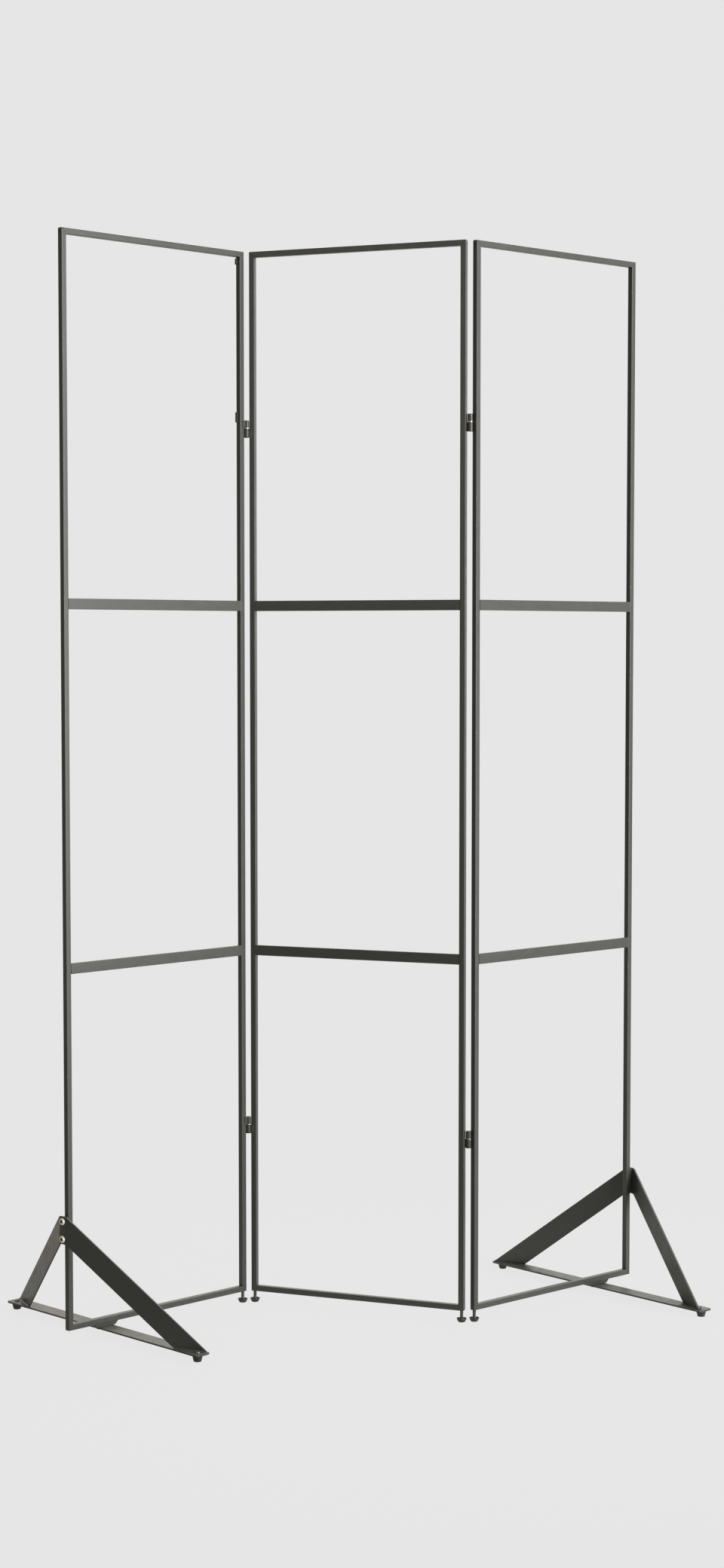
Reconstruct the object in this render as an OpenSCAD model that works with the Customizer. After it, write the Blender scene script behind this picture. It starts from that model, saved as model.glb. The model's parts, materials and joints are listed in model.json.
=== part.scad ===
// Folding room divider: three open panels of square steel tube, joined by
// lift-off barrel hinges. Four levelling feet stand under the inner corners,
// and a splayed stand of flat steel is screwed to each outer upright.
// Millimetres, +Z up. The middle panel stands along X and -Y is the front.
// The origin is on the floor, under the middle of the folded outline.

/* [Panels] */
// Height of a panel frame, from the bottom rail's underside to the top
panel_h = 1830; // [1500:10:2200]
// Width of a panel frame, outside to outside
panel_w = 400; // [320:5:500]
// Side of the square tube
tube = 10; // [10:0.5:14]
// Wall of the square tube
tube_wall = 1; // [0.8:0.1:1.2]
// Height of the frames' undersides above the floor
floor_gap = 20; // [17:0.5:28]
// Diameter of the vent hole in each upright's outer side
vent_d = 3; // [2:0.5:4]
// Middle of the vent hole below the frame's top
vent_drop = 7; // [5:0.5:20]

/* [Crossbars] */
// Height of a crossbar's face
crossbar_h = 18; // [12:1:30]
// Thickness of a crossbar
crossbar_t = 5; // [3:0.5:8]
// Middle of the lower crossbar above the frame's underside
crossbar_low = 610; // [450:1:750]
// Middle of the upper crossbar below the frame's top
crossbar_drop = 614; // [450:1:750]

/* [Fold] */
// Angle of the left panel from straight, folded to the front
fold_left = 66; // [0:1:120]
// Angle of the right panel from straight, folded to the back
fold_right = 64; // [0:1:120]
// Gap between two panels that stand in line
panel_gap = 10; // [9:0.5:14]

/* [Hinges] */
// Middle of the lower hinges above the frame's underside
hinge_low = 298; // [220:1:420]
// Middle of the upper hinges below the frame's top
hinge_drop = 306; // [220:1:420]
// Height of a hinge base, the lower barrel that holds the pin
hinge_base_h = 16; // [12:1:24]
// Height of a hinge socket, the upper barrel that turns on the pin
hinge_socket_h = 13; // [10:1:20]
// Diameter of a hinge pin
hinge_pin_d = 5; // [4:0.5:6]
// Thickness of the washer between the two barrels
hinge_washer_t = 1; // [0.6:0.1:2]
// Thickness of the leaf that laps over the tube's face
hinge_leaf_t = 1.6; // [1:0.1:2.5]
// Width of the leaf on the tube's face
hinge_leaf_lap = 4; // [2:0.5:7]
// Closed end of a barrel, past the end of its bore
hinge_cap_t = 2; // [1:0.5:3]

/* [Levelling feet] */
// Diameter of a foot's threaded stud
stud_d = 6; // [5:0.5:6.5]
// Length of the stud above the frame's underside
stud_reach = 18; // [14:1:40]
// Height of the threaded plug in the tube
plug_h = 15; // [10:1:25]
// Diameter of a pad at its rim
pad_rim_d = 17.5; // [15:0.5:24]
// Diameter of a pad where it meets the floor
pad_base_d = 12; // [11:0.5:14]
// Height of a pad
pad_h = 6.5; // [6:0.5:9]
// Wall of the pad's cup
pad_wall = 1.5; // [1:0.1:2]

/* [Stands] */
// Length of a stand across the panel
stand_l = 510; // [400:10:640]
// Width of the stand's flat bar
bar_w = 30; // [26:1:40]
// Thickness of the stand's sheet steel
sheet_t = 3; // [2.5:0.5:4]
// Middle of the flat bar, in from the panel's outer edge
bar_inset = 81; // [60:1:120]
// Height of the saddle between the flat bar and the rail
saddle_h = 6; // [4:0.5:10]
// Length of the saddle under the rail
saddle_l = 50; // [46:1:70]
// Bottom of the strap's plate above the frame's underside
plate_z = 148; // [100:1:220]
// Height of the strap's plate
plate_h = 47; // [46:1:70]
// Width of the strap's plate
plate_w = 16; // [14:1:24]
// Thickness of the spacer between the plate and the upright
spacer_t = 5; // [4:0.5:10]
// Height of the spacer
spacer_h = 45; // [42:1:45]
// Distance between the two screws in the plate
clamp_pitch = 30; // [26:1:30]
// Distance between the two screws in the saddle
saddle_pitch = 24; // [20:1:26]
// Diameter of a glide at the bar's underside
glide_top_d = 17.5; // [15:0.5:20]
// Diameter of a glide on the floor
glide_base_d = 13; // [10:0.5:14]

/* [Fasteners] */
// Diameter of every screw's shank
screw_d = 5; // [4:0.5:5]
// Diameter of a clamp screw's flanged head
clamp_head_d = 12; // [10:0.5:13]
// Height of a clamp screw's head
clamp_head_h = 3; // [2.5:0.1:4]
// Diameter of a glide screw's head
glide_head_d = 9; // [8:0.5:10]
// Height of a glide screw's head
glide_head_h = 2.2; // [1.8:0.1:3]
// Hexagon socket in a screw head, across its corners
socket_d = 4.6; // [3:0.1:4.8]
// Outer diameter of a rivet nut's body
rivet_nut_d = 7; // [6.5:0.1:7.4]
// Length of a rivet nut's body in the tube
rivet_nut_l = 7; // [6:0.5:7.5]

/* [Keeper tabs] */
// Middle of the lower tab above the middle of the upper hinge
keeper_rise = 20; // [10:1:120]
// Height of the lower tab
keeper_h = 18; // [10:1:30]
// Middle of the upper tab below the top rail
top_keeper_drop = 7; // [6:0.5:60]
// Height of the upper tab
top_keeper_h = 11; // [6:0.5:12]
// Width of the tabs
keeper_w = 5; // [3:0.5:8]
// Thickness of the tabs
keeper_t = 2.5; // [1.5:0.5:4]

/* [Clearances] */
// Between a barrel and either tube, all the way round the swing
swing_clear = 0.3; // [0.2:0.05:0.5]
// Round a part that turns or slides in a bore
running_fit = 0.05; // [0.02:0.01:0.1]
// Between the washer and the barrel that turns on it
seat_gap = 0.1; // [0.05:0.05:0.2]
// Round a screw or stud in a plain hole
hole_clear = 0.25; // [0.2:0.05:0.4]
// Between the threaded plug and the tube's walls
plug_fit = 0.1; // [0.05:0.05:0.2]

/* [Hidden] */
$fn = 48;
coat = [0.21, 0.21, 0.18];
zinc = [0.86, 0.84, 0.74];
plated = [0.62, 0.62, 0.60];
bronze = [0.70, 0.56, 0.32];
black_plastic = [0.09, 0.09, 0.09];

eps = 1;                                  // overrun of a cut past its face
mid = tube / 2;
wall_cut = 1.5 * tube_wall;               // depth of a hole through one wall of the tube
crossbar_high = panel_h - crossbar_drop;
hinge_high = panel_h - hinge_drop;
keepers = [
    [hinge_high + keeper_rise, keeper_h],
    [panel_h - tube - top_keeper_drop, top_keeper_h]
];                                        // the tabs' middles and heights
hinge_x = panel_w / 2 + panel_gap / 2;    // hinge axes each side of the middle

// hinge
barrel_d = panel_gap - 2 * swing_clear;
hinge_h = hinge_base_h + hinge_washer_t + seat_gap + hinge_socket_h;
hinge_levels = [hinge_low - hinge_h / 2, hinge_high - hinge_h / 2];
pin_bottom = hinge_cap_t;
pin_top = hinge_h - hinge_cap_t - seat_gap;

// foot
pad_floor_t = 1.5;                        // floor of the stud's socket in the pad
pad_dish_z = pad_floor_t + 1;             // bottom of the dish round the socket
pad_hub_d = stud_d + 2.6;                 // outside of the socket
pad_hub_h = pad_h - 2;
stud_bottom = pad_floor_t + seat_gap;

// stand, measured in from the panel's outer edge and across its middle
bar_top = -saddle_h;
bar_bottom = bar_top - sheet_t;
bar_out = bar_inset - bar_w / 2;
bar_in = bar_inset + bar_w / 2;
bar_corner_r = 4;
plate_top = plate_z + plate_h;
plate_x = -spacer_t - sheet_t / 2;
arm_foot_x = bar_in - sheet_t / 2;
arm_run = stand_l / 2 - plate_w / 2;
arm_turn = atan2(arm_foot_x - plate_x, arm_run);
arm_slope = (plate_top - bar_bottom) / arm_run;
arm_heel = plate_w / 2 + (plate_z - bar_bottom) / arm_slope;
saddle_screws = [for (side = [-1, 1]) bar_inset + side * saddle_pitch / 2];
clamp_levels = [for (side = [-1, 1]) plate_z + plate_h / 2 + side * clamp_pitch / 2];
glide_h = floor_gap + bar_bottom;
glide_y = stand_l / 2 - glide_top_d / 2 - bar_corner_r;
glide_x = bar_out + glide_top_d / 2 + bar_corner_r;
glide_chamfer = 1;                        // round the face on the floor
glide_lip = 1.5;                          // straight band under the bar
glide_screw_in = 0.7 * glide_h;           // the screw's reach into the glide
glide_bore = 0.75 * glide_h;              // depth of the glide's bore

// fasteners
nut_flange_d = rivet_nut_d + 1.4;
nut_flange_t = 0.8;
screw_in = rivet_nut_l - 1;               // a screw's reach into its rivet nut
sink_d = 1.76 * screw_d;                  // countersunk head
sink_h = 0.38 * screw_d;
sink_socket = 0.4 * screw_d;              // depth of its hexagon socket
crown_d = 0.56;                           // flat top of a button head, as a share of its width
shoulder_d = 0.84;                        // shoulder of a button head
shoulder_z = 0.28;                        // its level below the top, as a share of the height
rim_z = 0.62;                             // level of the rim's top edge
socket_z = 0.7;                           // depth of the hexagon socket

// plan position of the folded outline, from the stands' corners and screw heads
function turned(angle, p) =
    [p.x * cos(angle) - p.y * sin(angle), p.x * sin(angle) + p.y * cos(angle)];
function left_plan(p) =
    [-hinge_x, -mid] + turned(fold_left, [p.x - panel_w - panel_gap / 2, p.y + mid]);
function right_plan(p) = [hinge_x, mid] + turned(fold_right, [panel_w + panel_gap / 2 - p.x, -p.y - mid]);
outline = [
    for (x = [bar_out + bar_corner_r, bar_in - bar_corner_r])
    for (y = [-1, 1] * (stand_l / 2 - bar_corner_r))
    [x, y, bar_corner_r]
];
head_edge = [
    for (y = [-1, 1] * clamp_head_d / 2)
    [plate_x - sheet_t / 2 - clamp_head_h, y, 0]
];
low_x = min([for (p = concat(outline, head_edge)) min(left_plan(p).x, right_plan(p).x) - p.z]);
high_x = max([for (p = concat(outline, head_edge)) max(left_plan(p).x, right_plan(p).x) + p.z]);
low_y = min([for (p = concat(outline, head_edge)) min(left_plan(p).y, right_plan(p).y) - p.z]);
high_y = max([for (p = concat(outline, head_edge)) max(left_plan(p).y, right_plan(p).y) + p.z]);
centre = [(low_x + high_x) / 2, (low_y + high_y) / 2];

// ---- places: a panel's own frame has its outer lower front corner at zero ----

module on_middle()
    translate([-panel_w / 2 - centre.x, -mid - centre.y, floor_gap]) children();

module at_left_axis()
    translate([-hinge_x - centre.x, -mid - centre.y, floor_gap]) children();

module at_right_axis()
    translate([hinge_x - centre.x, mid - centre.y, floor_gap]) rotate(180) children();

module on_left()
    at_left_axis() rotate(fold_left) translate([-panel_gap / 2 - panel_w, 0, 0]) children();

module on_right()
    at_right_axis() rotate(fold_right) translate([-panel_gap / 2 - panel_w, 0, 0]) children();

// a stand's frame: X runs in from the outer edge, Y across the tube's middle
module at_left_stand() on_left() translate([0, mid, 0]) children();

module at_right_stand() on_right() translate([0, mid, 0]) children();

module at_foot(from_edge) translate([from_edge, mid, 0]) children();

// ---- panels ----

module mitred_side(length)
    translate([0, tube, 0]) rotate([90, 0, 0]) linear_extrude(tube)
        polygon([[0, 0], [tube, tube], [tube, length - tube], [0, length]]);

module upright(screw_levels = [])
    color(coat) difference() {
        mitred_side(panel_h);
        translate([tube_wall, tube_wall, -eps])
            cube([tube - 2 * tube_wall, tube - 2 * tube_wall, panel_h + 2 * eps]);
        for (z = screw_levels)
            translate([-eps, mid, z]) rotate([0, 90, 0])
                cylinder(d = rivet_nut_d, h = eps + wall_cut);
        translate([-eps, mid, panel_h - vent_drop]) rotate([0, 90, 0])
            cylinder(d = vent_d, h = eps + wall_cut);
    }

module far_upright(screw_levels = [])
    translate([panel_w, 0, 0]) mirror([1, 0, 0]) upright(screw_levels);

module rail(stud_places = [], screw_places = [])
    color(coat) difference() {
        translate([0, tube, 0]) rotate([90, 0, 0]) linear_extrude(tube)
            polygon([[0, 0], [panel_w, 0], [panel_w - tube, tube], [tube, tube]]);
        translate([-eps, tube_wall, tube_wall])
            cube([panel_w + 2 * eps, tube - 2 * tube_wall, tube - 2 * tube_wall]);
        for (x = stud_places)
            translate([x, mid, -eps]) cylinder(d = stud_d + 2 * hole_clear, h = eps + wall_cut);
        for (x = screw_places)
            translate([x, mid, -eps]) cylinder(d = rivet_nut_d, h = eps + wall_cut);
    }

module top_rail() translate([0, 0, panel_h]) mirror([0, 0, 1]) rail();

module crossbar(level)
    color(coat) translate([tube, 0, level - crossbar_h / 2])
        cube([panel_w - 2 * tube, crossbar_t, crossbar_h]);

module keeper_tabs()
    color(coat) for (tab = keepers)
        translate([panel_w - tube - keeper_t, tube - keeper_w, tab[0] - tab[1] / 2])
            cube([keeper_t, keeper_w, tab[1]]);

// ---- hinges: the axis is at zero, the barrel's own tube lies towards +X ----

module hinge_leaf(height) {
    translate([0, -hinge_leaf_t, 0])
        cube([panel_gap / 2 + hinge_leaf_lap, hinge_leaf_t, height]);
    translate([0, -hinge_leaf_t, 0])
        cube([panel_gap / 2, 2 * hinge_leaf_t, height]);
}

module hinge_base()
    color(coat) difference() {
        union() {
            cylinder(d = barrel_d, h = hinge_base_h);
            hinge_leaf(hinge_base_h);
        }
        translate([0, 0, pin_bottom]) cylinder(d = hinge_pin_d, h = hinge_base_h);
    }

module hinge_socket()
    color(coat) translate([0, 0, hinge_h - hinge_socket_h]) difference() {
        union() {
            cylinder(d = barrel_d, h = hinge_socket_h);
            hinge_leaf(hinge_socket_h);
        }
        translate([0, 0, -eps])
            cylinder(d = hinge_pin_d + 2 * running_fit, h = hinge_socket_h - hinge_cap_t + eps);
    }

module hinge_pin()
    color(plated) translate([0, 0, pin_bottom]) cylinder(d = hinge_pin_d, h = pin_top - pin_bottom);

module hinge_washer()
    color(bronze) translate([0, 0, hinge_base_h]) difference() {
        cylinder(d = barrel_d, h = hinge_washer_t);
        translate([0, 0, -eps])
            cylinder(d = hinge_pin_d + 2 * running_fit, h = hinge_washer_t + 2 * eps);
    }

module at_level(i) translate([0, 0, hinge_levels[i]]) children();

// ---- levelling feet ----

module foot_plug()
    color(plated) difference() {
        side = tube - 2 * tube_wall - 2 * plug_fit;
        translate([-side / 2, -side / 2, tube_wall]) cube([side, side, plug_h]);
        cylinder(d = stud_d + 2 * running_fit, h = plug_h + tube_wall + eps);
    }

module foot_stud()
    color(plated) translate([0, 0, stud_bottom - floor_gap])
        cylinder(d = stud_d, h = floor_gap - stud_bottom + stud_reach);

module foot_pad()
    color(black_plastic) translate([0, 0, -floor_gap]) rotate_extrude()
        polygon([
            [0, 0], [pad_base_d / 2, 0], [pad_rim_d / 2, pad_h],
            [pad_rim_d / 2 - pad_wall, pad_h], [pad_base_d / 2 - pad_wall / 2, pad_dish_z],
            [pad_hub_d / 2, pad_dish_z], [pad_hub_d / 2, pad_hub_h],
            [stud_d / 2 + running_fit, pad_hub_h], [stud_d / 2 + running_fit, pad_floor_t],
            [0, pad_floor_t]
        ]);

// ---- stands ----

module bar_outline() {
    translate([bar_out + bar_corner_r, -stand_l / 2])
        square([bar_w - 2 * bar_corner_r, stand_l]);
    translate([bar_out, bar_corner_r - stand_l / 2])
        square([bar_w, stand_l - 2 * bar_corner_r]);
    for (x = [bar_out + bar_corner_r, bar_in - bar_corner_r])
        for (y = [-1, 1] * (stand_l / 2 - bar_corner_r))
            translate([x, y]) circle(r = bar_corner_r);
}

// the sheet's centre line in plan, for the arm towards one side
module arm_plan(side)
    translate([plate_x, side * plate_w / 2]) rotate(-side * arm_turn)
        translate([-sheet_t / 2, side < 0 ? -stand_l : 0]) square([sheet_t, stand_l]);

// everything on the outer side of that centre line
module outer_side(side)
    translate([plate_x, side * plate_w / 2]) rotate(-side * arm_turn)
        translate([-stand_l, side < 0 ? -stand_l : 0]) square([stand_l, stand_l]);

module strap_plan() {
    translate([plate_x - sheet_t / 2, -plate_w / 2]) square([sheet_t, plate_w]);
    for (side = [-1, 1]) {
        translate([plate_x, side * plate_w / 2]) circle(d = sheet_t);
        arm_plan(side);
    }
}

module strap_profile() {
    y = plate_w / 2;
    tip = stand_l / 2;
    polygon([
        [-y, plate_top], [y, plate_top], [tip, bar_bottom], [arm_heel, bar_bottom],
        [y, plate_z], [-y, plate_z], [-arm_heel, bar_bottom], [-tip, bar_bottom]
    ]);
}

module strap_sheet()
    intersection() {
        translate([0, 0, bar_bottom]) linear_extrude(plate_top - bar_bottom) strap_plan();
        translate([plate_x - sheet_t, 0, 0]) rotate([90, 0, 90]) linear_extrude(bar_in + stand_l)
            strap_profile();
    }

module strap_toes()
    translate([0, 0, bar_bottom]) linear_extrude(sheet_t) intersection() {
        bar_outline();
        for (side = [-1, 1]) outer_side(side);
    }

module stand_strap()
    color(coat) difference() {
        union() {
            strap_sheet();
            strap_toes();
        }
        for (z = clamp_levels)
            translate([plate_x - sheet_t, 0, z]) rotate([0, 90, 0])
                cylinder(d = screw_d + 2 * hole_clear, h = 2 * sheet_t);
        for (side = [-1, 1])
            translate([glide_x, side * glide_y, bar_bottom - eps])
                cylinder(d = screw_d + 2 * hole_clear, h = sheet_t + 2 * eps);
    }

module stand_bar()
    color(coat) difference() {
        translate([0, 0, bar_bottom]) linear_extrude(sheet_t) difference() {
            bar_outline();
            for (side = [-1, 1]) outer_side(side);
        }
        strap_sheet();
        for (x = saddle_screws)
            translate([x, 0, bar_bottom]) {
                translate([0, 0, -eps]) cylinder(d = screw_d + 2 * hole_clear, h = sheet_t + 2 * eps);
                countersink(hole_clear);
            }
    }

module stand_spacer()
    color(coat) difference() {
        translate([-spacer_t, -mid, plate_z + (plate_h - spacer_h) / 2])
            cube([spacer_t, tube, spacer_h]);
        for (z = clamp_levels)
            translate([0, 0, z]) rotate([0, 90, 0]) nut_seat(spacer_t);
    }

module stand_saddle()
    color(black_plastic) difference() {
        translate([0, mid, 0]) rotate([90, 0, 0]) linear_extrude(tube)
            polygon([
                [bar_inset - saddle_l / 2, 0], [bar_inset - saddle_l / 2 + saddle_h, bar_top],
                [bar_inset + saddle_l / 2 - saddle_h, bar_top], [bar_inset + saddle_l / 2, 0]
            ]);
        for (x = saddle_screws)
            translate([x, 0, 0]) nut_seat(saddle_h);
    }

// ---- fasteners: the shank points up +Z, from the face under the head ----

module hex_socket(depth) cylinder(d = socket_d, h = depth, $fn = 6);

module button_screw(head_d, head_h, length)
    difference() {
        union() {
            cylinder(d = screw_d, h = length);
            translate([0, 0, -head_h]) rotate_extrude()
                polygon([
                    [0, 0], [head_d * crown_d / 2, 0],
                    [head_d * shoulder_d / 2, head_h * shoulder_z],
                    [head_d / 2, head_h * rim_z], [head_d / 2, head_h], [0, head_h]
                ]);
        }
        translate([0, 0, -head_h - eps]) hex_socket(eps + head_h * socket_z);
    }

module countersink(extra)
    rotate_extrude()
        polygon([
            [0, 0], [sink_d / 2 + extra, 0], [screw_d / 2 + extra, sink_h], [0, sink_h]
        ]);

module flush_screw(length)
    difference() {
        union() {
            cylinder(d = screw_d, h = length);
            countersink(0);
        }
        translate([0, 0, -eps]) hex_socket(eps + sink_socket);
    }

module rivet_nut()
    difference() {
        union() {
            cylinder(d = rivet_nut_d - 2 * running_fit, h = rivet_nut_l);
            translate([0, 0, -nut_flange_t]) cylinder(d = nut_flange_d, h = nut_flange_t);
        }
        translate([0, 0, -nut_flange_t - eps])
            cylinder(d = screw_d + 2 * running_fit, h = rivet_nut_l + nut_flange_t + 2 * eps);
    }

// a screw hole down from z = 0, with a recess that holds a rivet nut's flange
module nut_seat(depth) {
    translate([0, 0, -depth - eps]) cylinder(d = screw_d + 2 * hole_clear, h = depth + 2 * eps);
    translate([0, 0, -nut_flange_t - running_fit])
        cylinder(d = nut_flange_d + 2 * running_fit, h = nut_flange_t + running_fit + eps);
}

module stand_rivet_nuts()
    color(plated) {
        for (z = clamp_levels) translate([0, 0, z]) rotate([0, 90, 0]) rivet_nut();
        for (x = saddle_screws) translate([x, 0, 0]) rivet_nut();
    }

module stand_clamp_screws()
    color(zinc) for (z = clamp_levels)
        translate([plate_x - sheet_t / 2, 0, z]) rotate([0, 90, 0])
            button_screw(clamp_head_d, clamp_head_h, sheet_t + spacer_t + screw_in);

module stand_bar_screws()
    color(plated) for (x = saddle_screws)
        translate([x, 0, bar_bottom]) flush_screw(sheet_t + saddle_h + screw_in);

module stand_glide_screws()
    color(plated) for (side = [-1, 1])
        translate([glide_x, side * glide_y, bar_top]) rotate([180, 0, 0])
            button_screw(glide_head_d, glide_head_h, sheet_t + glide_screw_in);

module stand_glides()
    color(black_plastic) for (side = [-1, 1])
        translate([glide_x, side * glide_y, -floor_gap]) difference() {
            rotate_extrude() polygon([
                [0, 0], [glide_base_d / 2 - glide_chamfer, 0], [glide_base_d / 2, glide_chamfer],
                [glide_top_d / 2, glide_h - glide_lip], [glide_top_d / 2, glide_h], [0, glide_h]
            ]);
            translate([0, 0, glide_h - glide_bore]) cylinder(d = screw_d, h = glide_bore + eps);
        }

// ---- the assembly ----

on_middle() upright();  // middle_left_upright
on_middle() far_upright();  // middle_right_upright
on_middle() top_rail();  // middle_top_rail
on_middle() rail(stud_places = [mid, panel_w - mid]);  // middle_bottom_rail
on_middle() crossbar(crossbar_low);  // middle_low_crossbar
on_middle() crossbar(crossbar_high);  // middle_high_crossbar

on_left() upright(clamp_levels);  // left_outer_upright
on_left() far_upright();  // left_inner_upright
on_left() top_rail();  // left_top_rail
on_left() rail(stud_places = [panel_w - mid], screw_places = saddle_screws);  // left_bottom_rail
on_left() crossbar(crossbar_low);  // left_low_crossbar
on_left() crossbar(crossbar_high);  // left_high_crossbar
on_left() keeper_tabs();  // left_keeper_tabs

on_right() far_upright();  // right_inner_upright
on_right() upright(clamp_levels);  // right_outer_upright
on_right() top_rail();  // right_top_rail
on_right() rail(stud_places = [panel_w - mid], screw_places = saddle_screws);  // right_bottom_rail
on_right() translate([0, tube - crossbar_t, 0]) crossbar(crossbar_low);  // right_low_crossbar
on_right() translate([0, tube - crossbar_t, 0]) crossbar(crossbar_high);  // right_high_crossbar

at_left_axis() at_level(0) hinge_base();  // left_low_hinge_base
at_left_axis() at_level(1) hinge_base();  // left_high_hinge_base
at_right_axis() at_level(0) hinge_base();  // right_low_hinge_base
at_right_axis() at_level(1) hinge_base();  // right_high_hinge_base
at_left_axis() rotate(fold_left) at_level(0) mirror([1, 0, 0]) hinge_socket();  // left_low_hinge_socket
at_left_axis() rotate(fold_left) at_level(1) mirror([1, 0, 0]) hinge_socket();  // left_high_hinge_socket
at_right_axis() rotate(fold_right) at_level(0) mirror([1, 0, 0]) hinge_socket();  // right_low_hinge_socket
at_right_axis() rotate(fold_right) at_level(1) mirror([1, 0, 0]) hinge_socket();  // right_high_hinge_socket
at_left_axis() for (i = [0, 1]) at_level(i) hinge_pin();  // left_hinge_pins
at_right_axis() for (i = [0, 1]) at_level(i) hinge_pin();  // right_hinge_pins
at_left_axis() for (i = [0, 1]) at_level(i) hinge_washer();  // left_hinge_washers
at_right_axis() for (i = [0, 1]) at_level(i) hinge_washer();  // right_hinge_washers

on_left() at_foot(panel_w - mid) foot_plug();  // left_foot_plug
on_middle() for (x = [mid, panel_w - mid]) at_foot(x) foot_plug();  // middle_foot_plugs
on_right() at_foot(panel_w - mid) foot_plug();  // right_foot_plug
on_left() at_foot(panel_w - mid) foot_stud();  // left_foot_stud
on_middle() at_foot(mid) foot_stud();  // middle_left_foot_stud
on_middle() at_foot(panel_w - mid) foot_stud();  // middle_right_foot_stud
on_right() at_foot(panel_w - mid) foot_stud();  // right_foot_stud
on_left() at_foot(panel_w - mid) foot_pad();  // left_foot_pad
on_middle() at_foot(mid) foot_pad();  // middle_left_foot_pad
on_middle() at_foot(panel_w - mid) foot_pad();  // middle_right_foot_pad
on_right() at_foot(panel_w - mid) foot_pad();  // right_foot_pad

at_left_stand() stand_bar();  // left_stand_bar
at_left_stand() stand_strap();  // left_stand_strap
at_left_stand() stand_spacer();  // left_stand_spacer
at_left_stand() stand_saddle();  // left_stand_saddle
at_left_stand() stand_rivet_nuts();  // left_stand_rivet_nuts
at_left_stand() stand_clamp_screws();  // left_stand_clamp_screws
at_left_stand() stand_bar_screws();  // left_stand_bar_screws
at_left_stand() stand_glide_screws();  // left_stand_glide_screws
at_left_stand() stand_glides();  // left_stand_glides

at_right_stand() stand_bar();  // right_stand_bar
at_right_stand() stand_strap();  // right_stand_strap
at_right_stand() stand_spacer();  // right_stand_spacer
at_right_stand() stand_saddle();  // right_stand_saddle
at_right_stand() stand_rivet_nuts();  // right_stand_rivet_nuts
at_right_stand() stand_clamp_screws();  // right_stand_clamp_screws
at_right_stand() stand_bar_screws();  // right_stand_bar_screws
at_right_stand() stand_glide_screws();  // right_stand_glide_screws
at_right_stand() stand_glides();  // right_stand_glides
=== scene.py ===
import bmesh
import bpy
import json
import math
from mathutils import Matrix, Vector, noise


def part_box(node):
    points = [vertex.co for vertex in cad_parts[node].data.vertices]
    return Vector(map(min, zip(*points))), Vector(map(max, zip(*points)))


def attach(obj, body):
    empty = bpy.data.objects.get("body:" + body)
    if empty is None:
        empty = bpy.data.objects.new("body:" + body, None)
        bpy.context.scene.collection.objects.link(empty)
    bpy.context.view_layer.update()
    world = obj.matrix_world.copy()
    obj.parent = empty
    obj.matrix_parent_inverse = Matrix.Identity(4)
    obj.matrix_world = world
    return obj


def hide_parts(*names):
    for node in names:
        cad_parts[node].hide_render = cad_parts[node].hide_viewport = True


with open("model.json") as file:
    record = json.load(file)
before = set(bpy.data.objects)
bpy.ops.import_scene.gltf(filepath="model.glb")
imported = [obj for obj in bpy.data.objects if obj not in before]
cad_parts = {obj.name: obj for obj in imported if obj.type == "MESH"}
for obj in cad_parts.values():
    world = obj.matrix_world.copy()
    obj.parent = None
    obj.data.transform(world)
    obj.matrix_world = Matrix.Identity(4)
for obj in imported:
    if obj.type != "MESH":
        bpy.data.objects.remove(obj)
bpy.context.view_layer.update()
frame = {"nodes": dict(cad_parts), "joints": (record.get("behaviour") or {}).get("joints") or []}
bpy.ops.object.select_all(action="DESELECT")
mm = 0.001
up = Vector((0, 0, 1))


def centreOf(node):
    low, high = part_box(node)
    return (low + high) / 2


uprightLow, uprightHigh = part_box("middle_left_upright")
railLow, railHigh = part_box("middle_top_rail")
crossLow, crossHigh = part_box("middle_low_crossbar")
tubeSide = uprightHigh.x - uprightLow.x
frameLow = uprightLow.z
frameHeight = uprightHigh.z - uprightLow.z
panelWidth = railHigh.x - railLow.x
crossThick = crossHigh.y - crossLow.y
hingeAxis = Vector(next(j["pos_m"] for j in frame["joints"] if j["name"] == "left_fold"))
halfGap = uprightLow.x - hingeAxis.x


# a panel's own axes: X runs across it from its first upright, Y through the tube, Z up
def panelPlace(firstUpright, lastUpright):
    first = centreOf(firstUpright)
    along = centreOf(lastUpright) - first
    along.z = 0
    along.normalize()
    across = up.cross(along)
    corner = first - (along + across) * tubeSide / 2
    corner.z = frameLow
    turn = Matrix((along, across, up)).transposed().to_4x4()
    return Matrix.Translation(corner) @ turn


panels = {
    "left": {
        "place": panelPlace("left_outer_upright", "left_inner_upright"),
        "uprights": ("outer", "inner"),
        "body": "left_panel",
        "crossFront": 0.0,
    },
    "middle": {
        "place": panelPlace("middle_left_upright", "middle_right_upright"),
        "uprights": ("left", "right"),
        "body": "middle_panel",
        "crossFront": 0.0,
    },
    "right": {
        "place": panelPlace("right_outer_upright", "right_inner_upright"),
        "uprights": ("outer", "inner"),
        "body": "right_panel",
        "crossFront": tubeSide - crossThick,
    },
}


# the low and high corners of a CAD node in some piece's own axes
def boxIn(node, place):
    back = place.inverted()
    points = [back @ v.co for v in frame["nodes"][node].data.vertices]
    low = Vector([min(p[i] for p in points) for i in range(3)])
    high = Vector([max(p[i] for p in points) for i in range(3)])
    return low, high


print("scene: frame loaded, three panels placed")


def openEdit(piece, mode="EDGE"):
    bpy.ops.object.select_all(action="DESELECT")
    piece.select_set(True)
    bpy.context.view_layer.objects.active = piece
    bpy.ops.object.mode_set(mode="EDIT")
    bpy.ops.mesh.select_mode(type=mode)


def closeEdit():
    bpy.ops.object.mode_set(mode="OBJECT")


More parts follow.
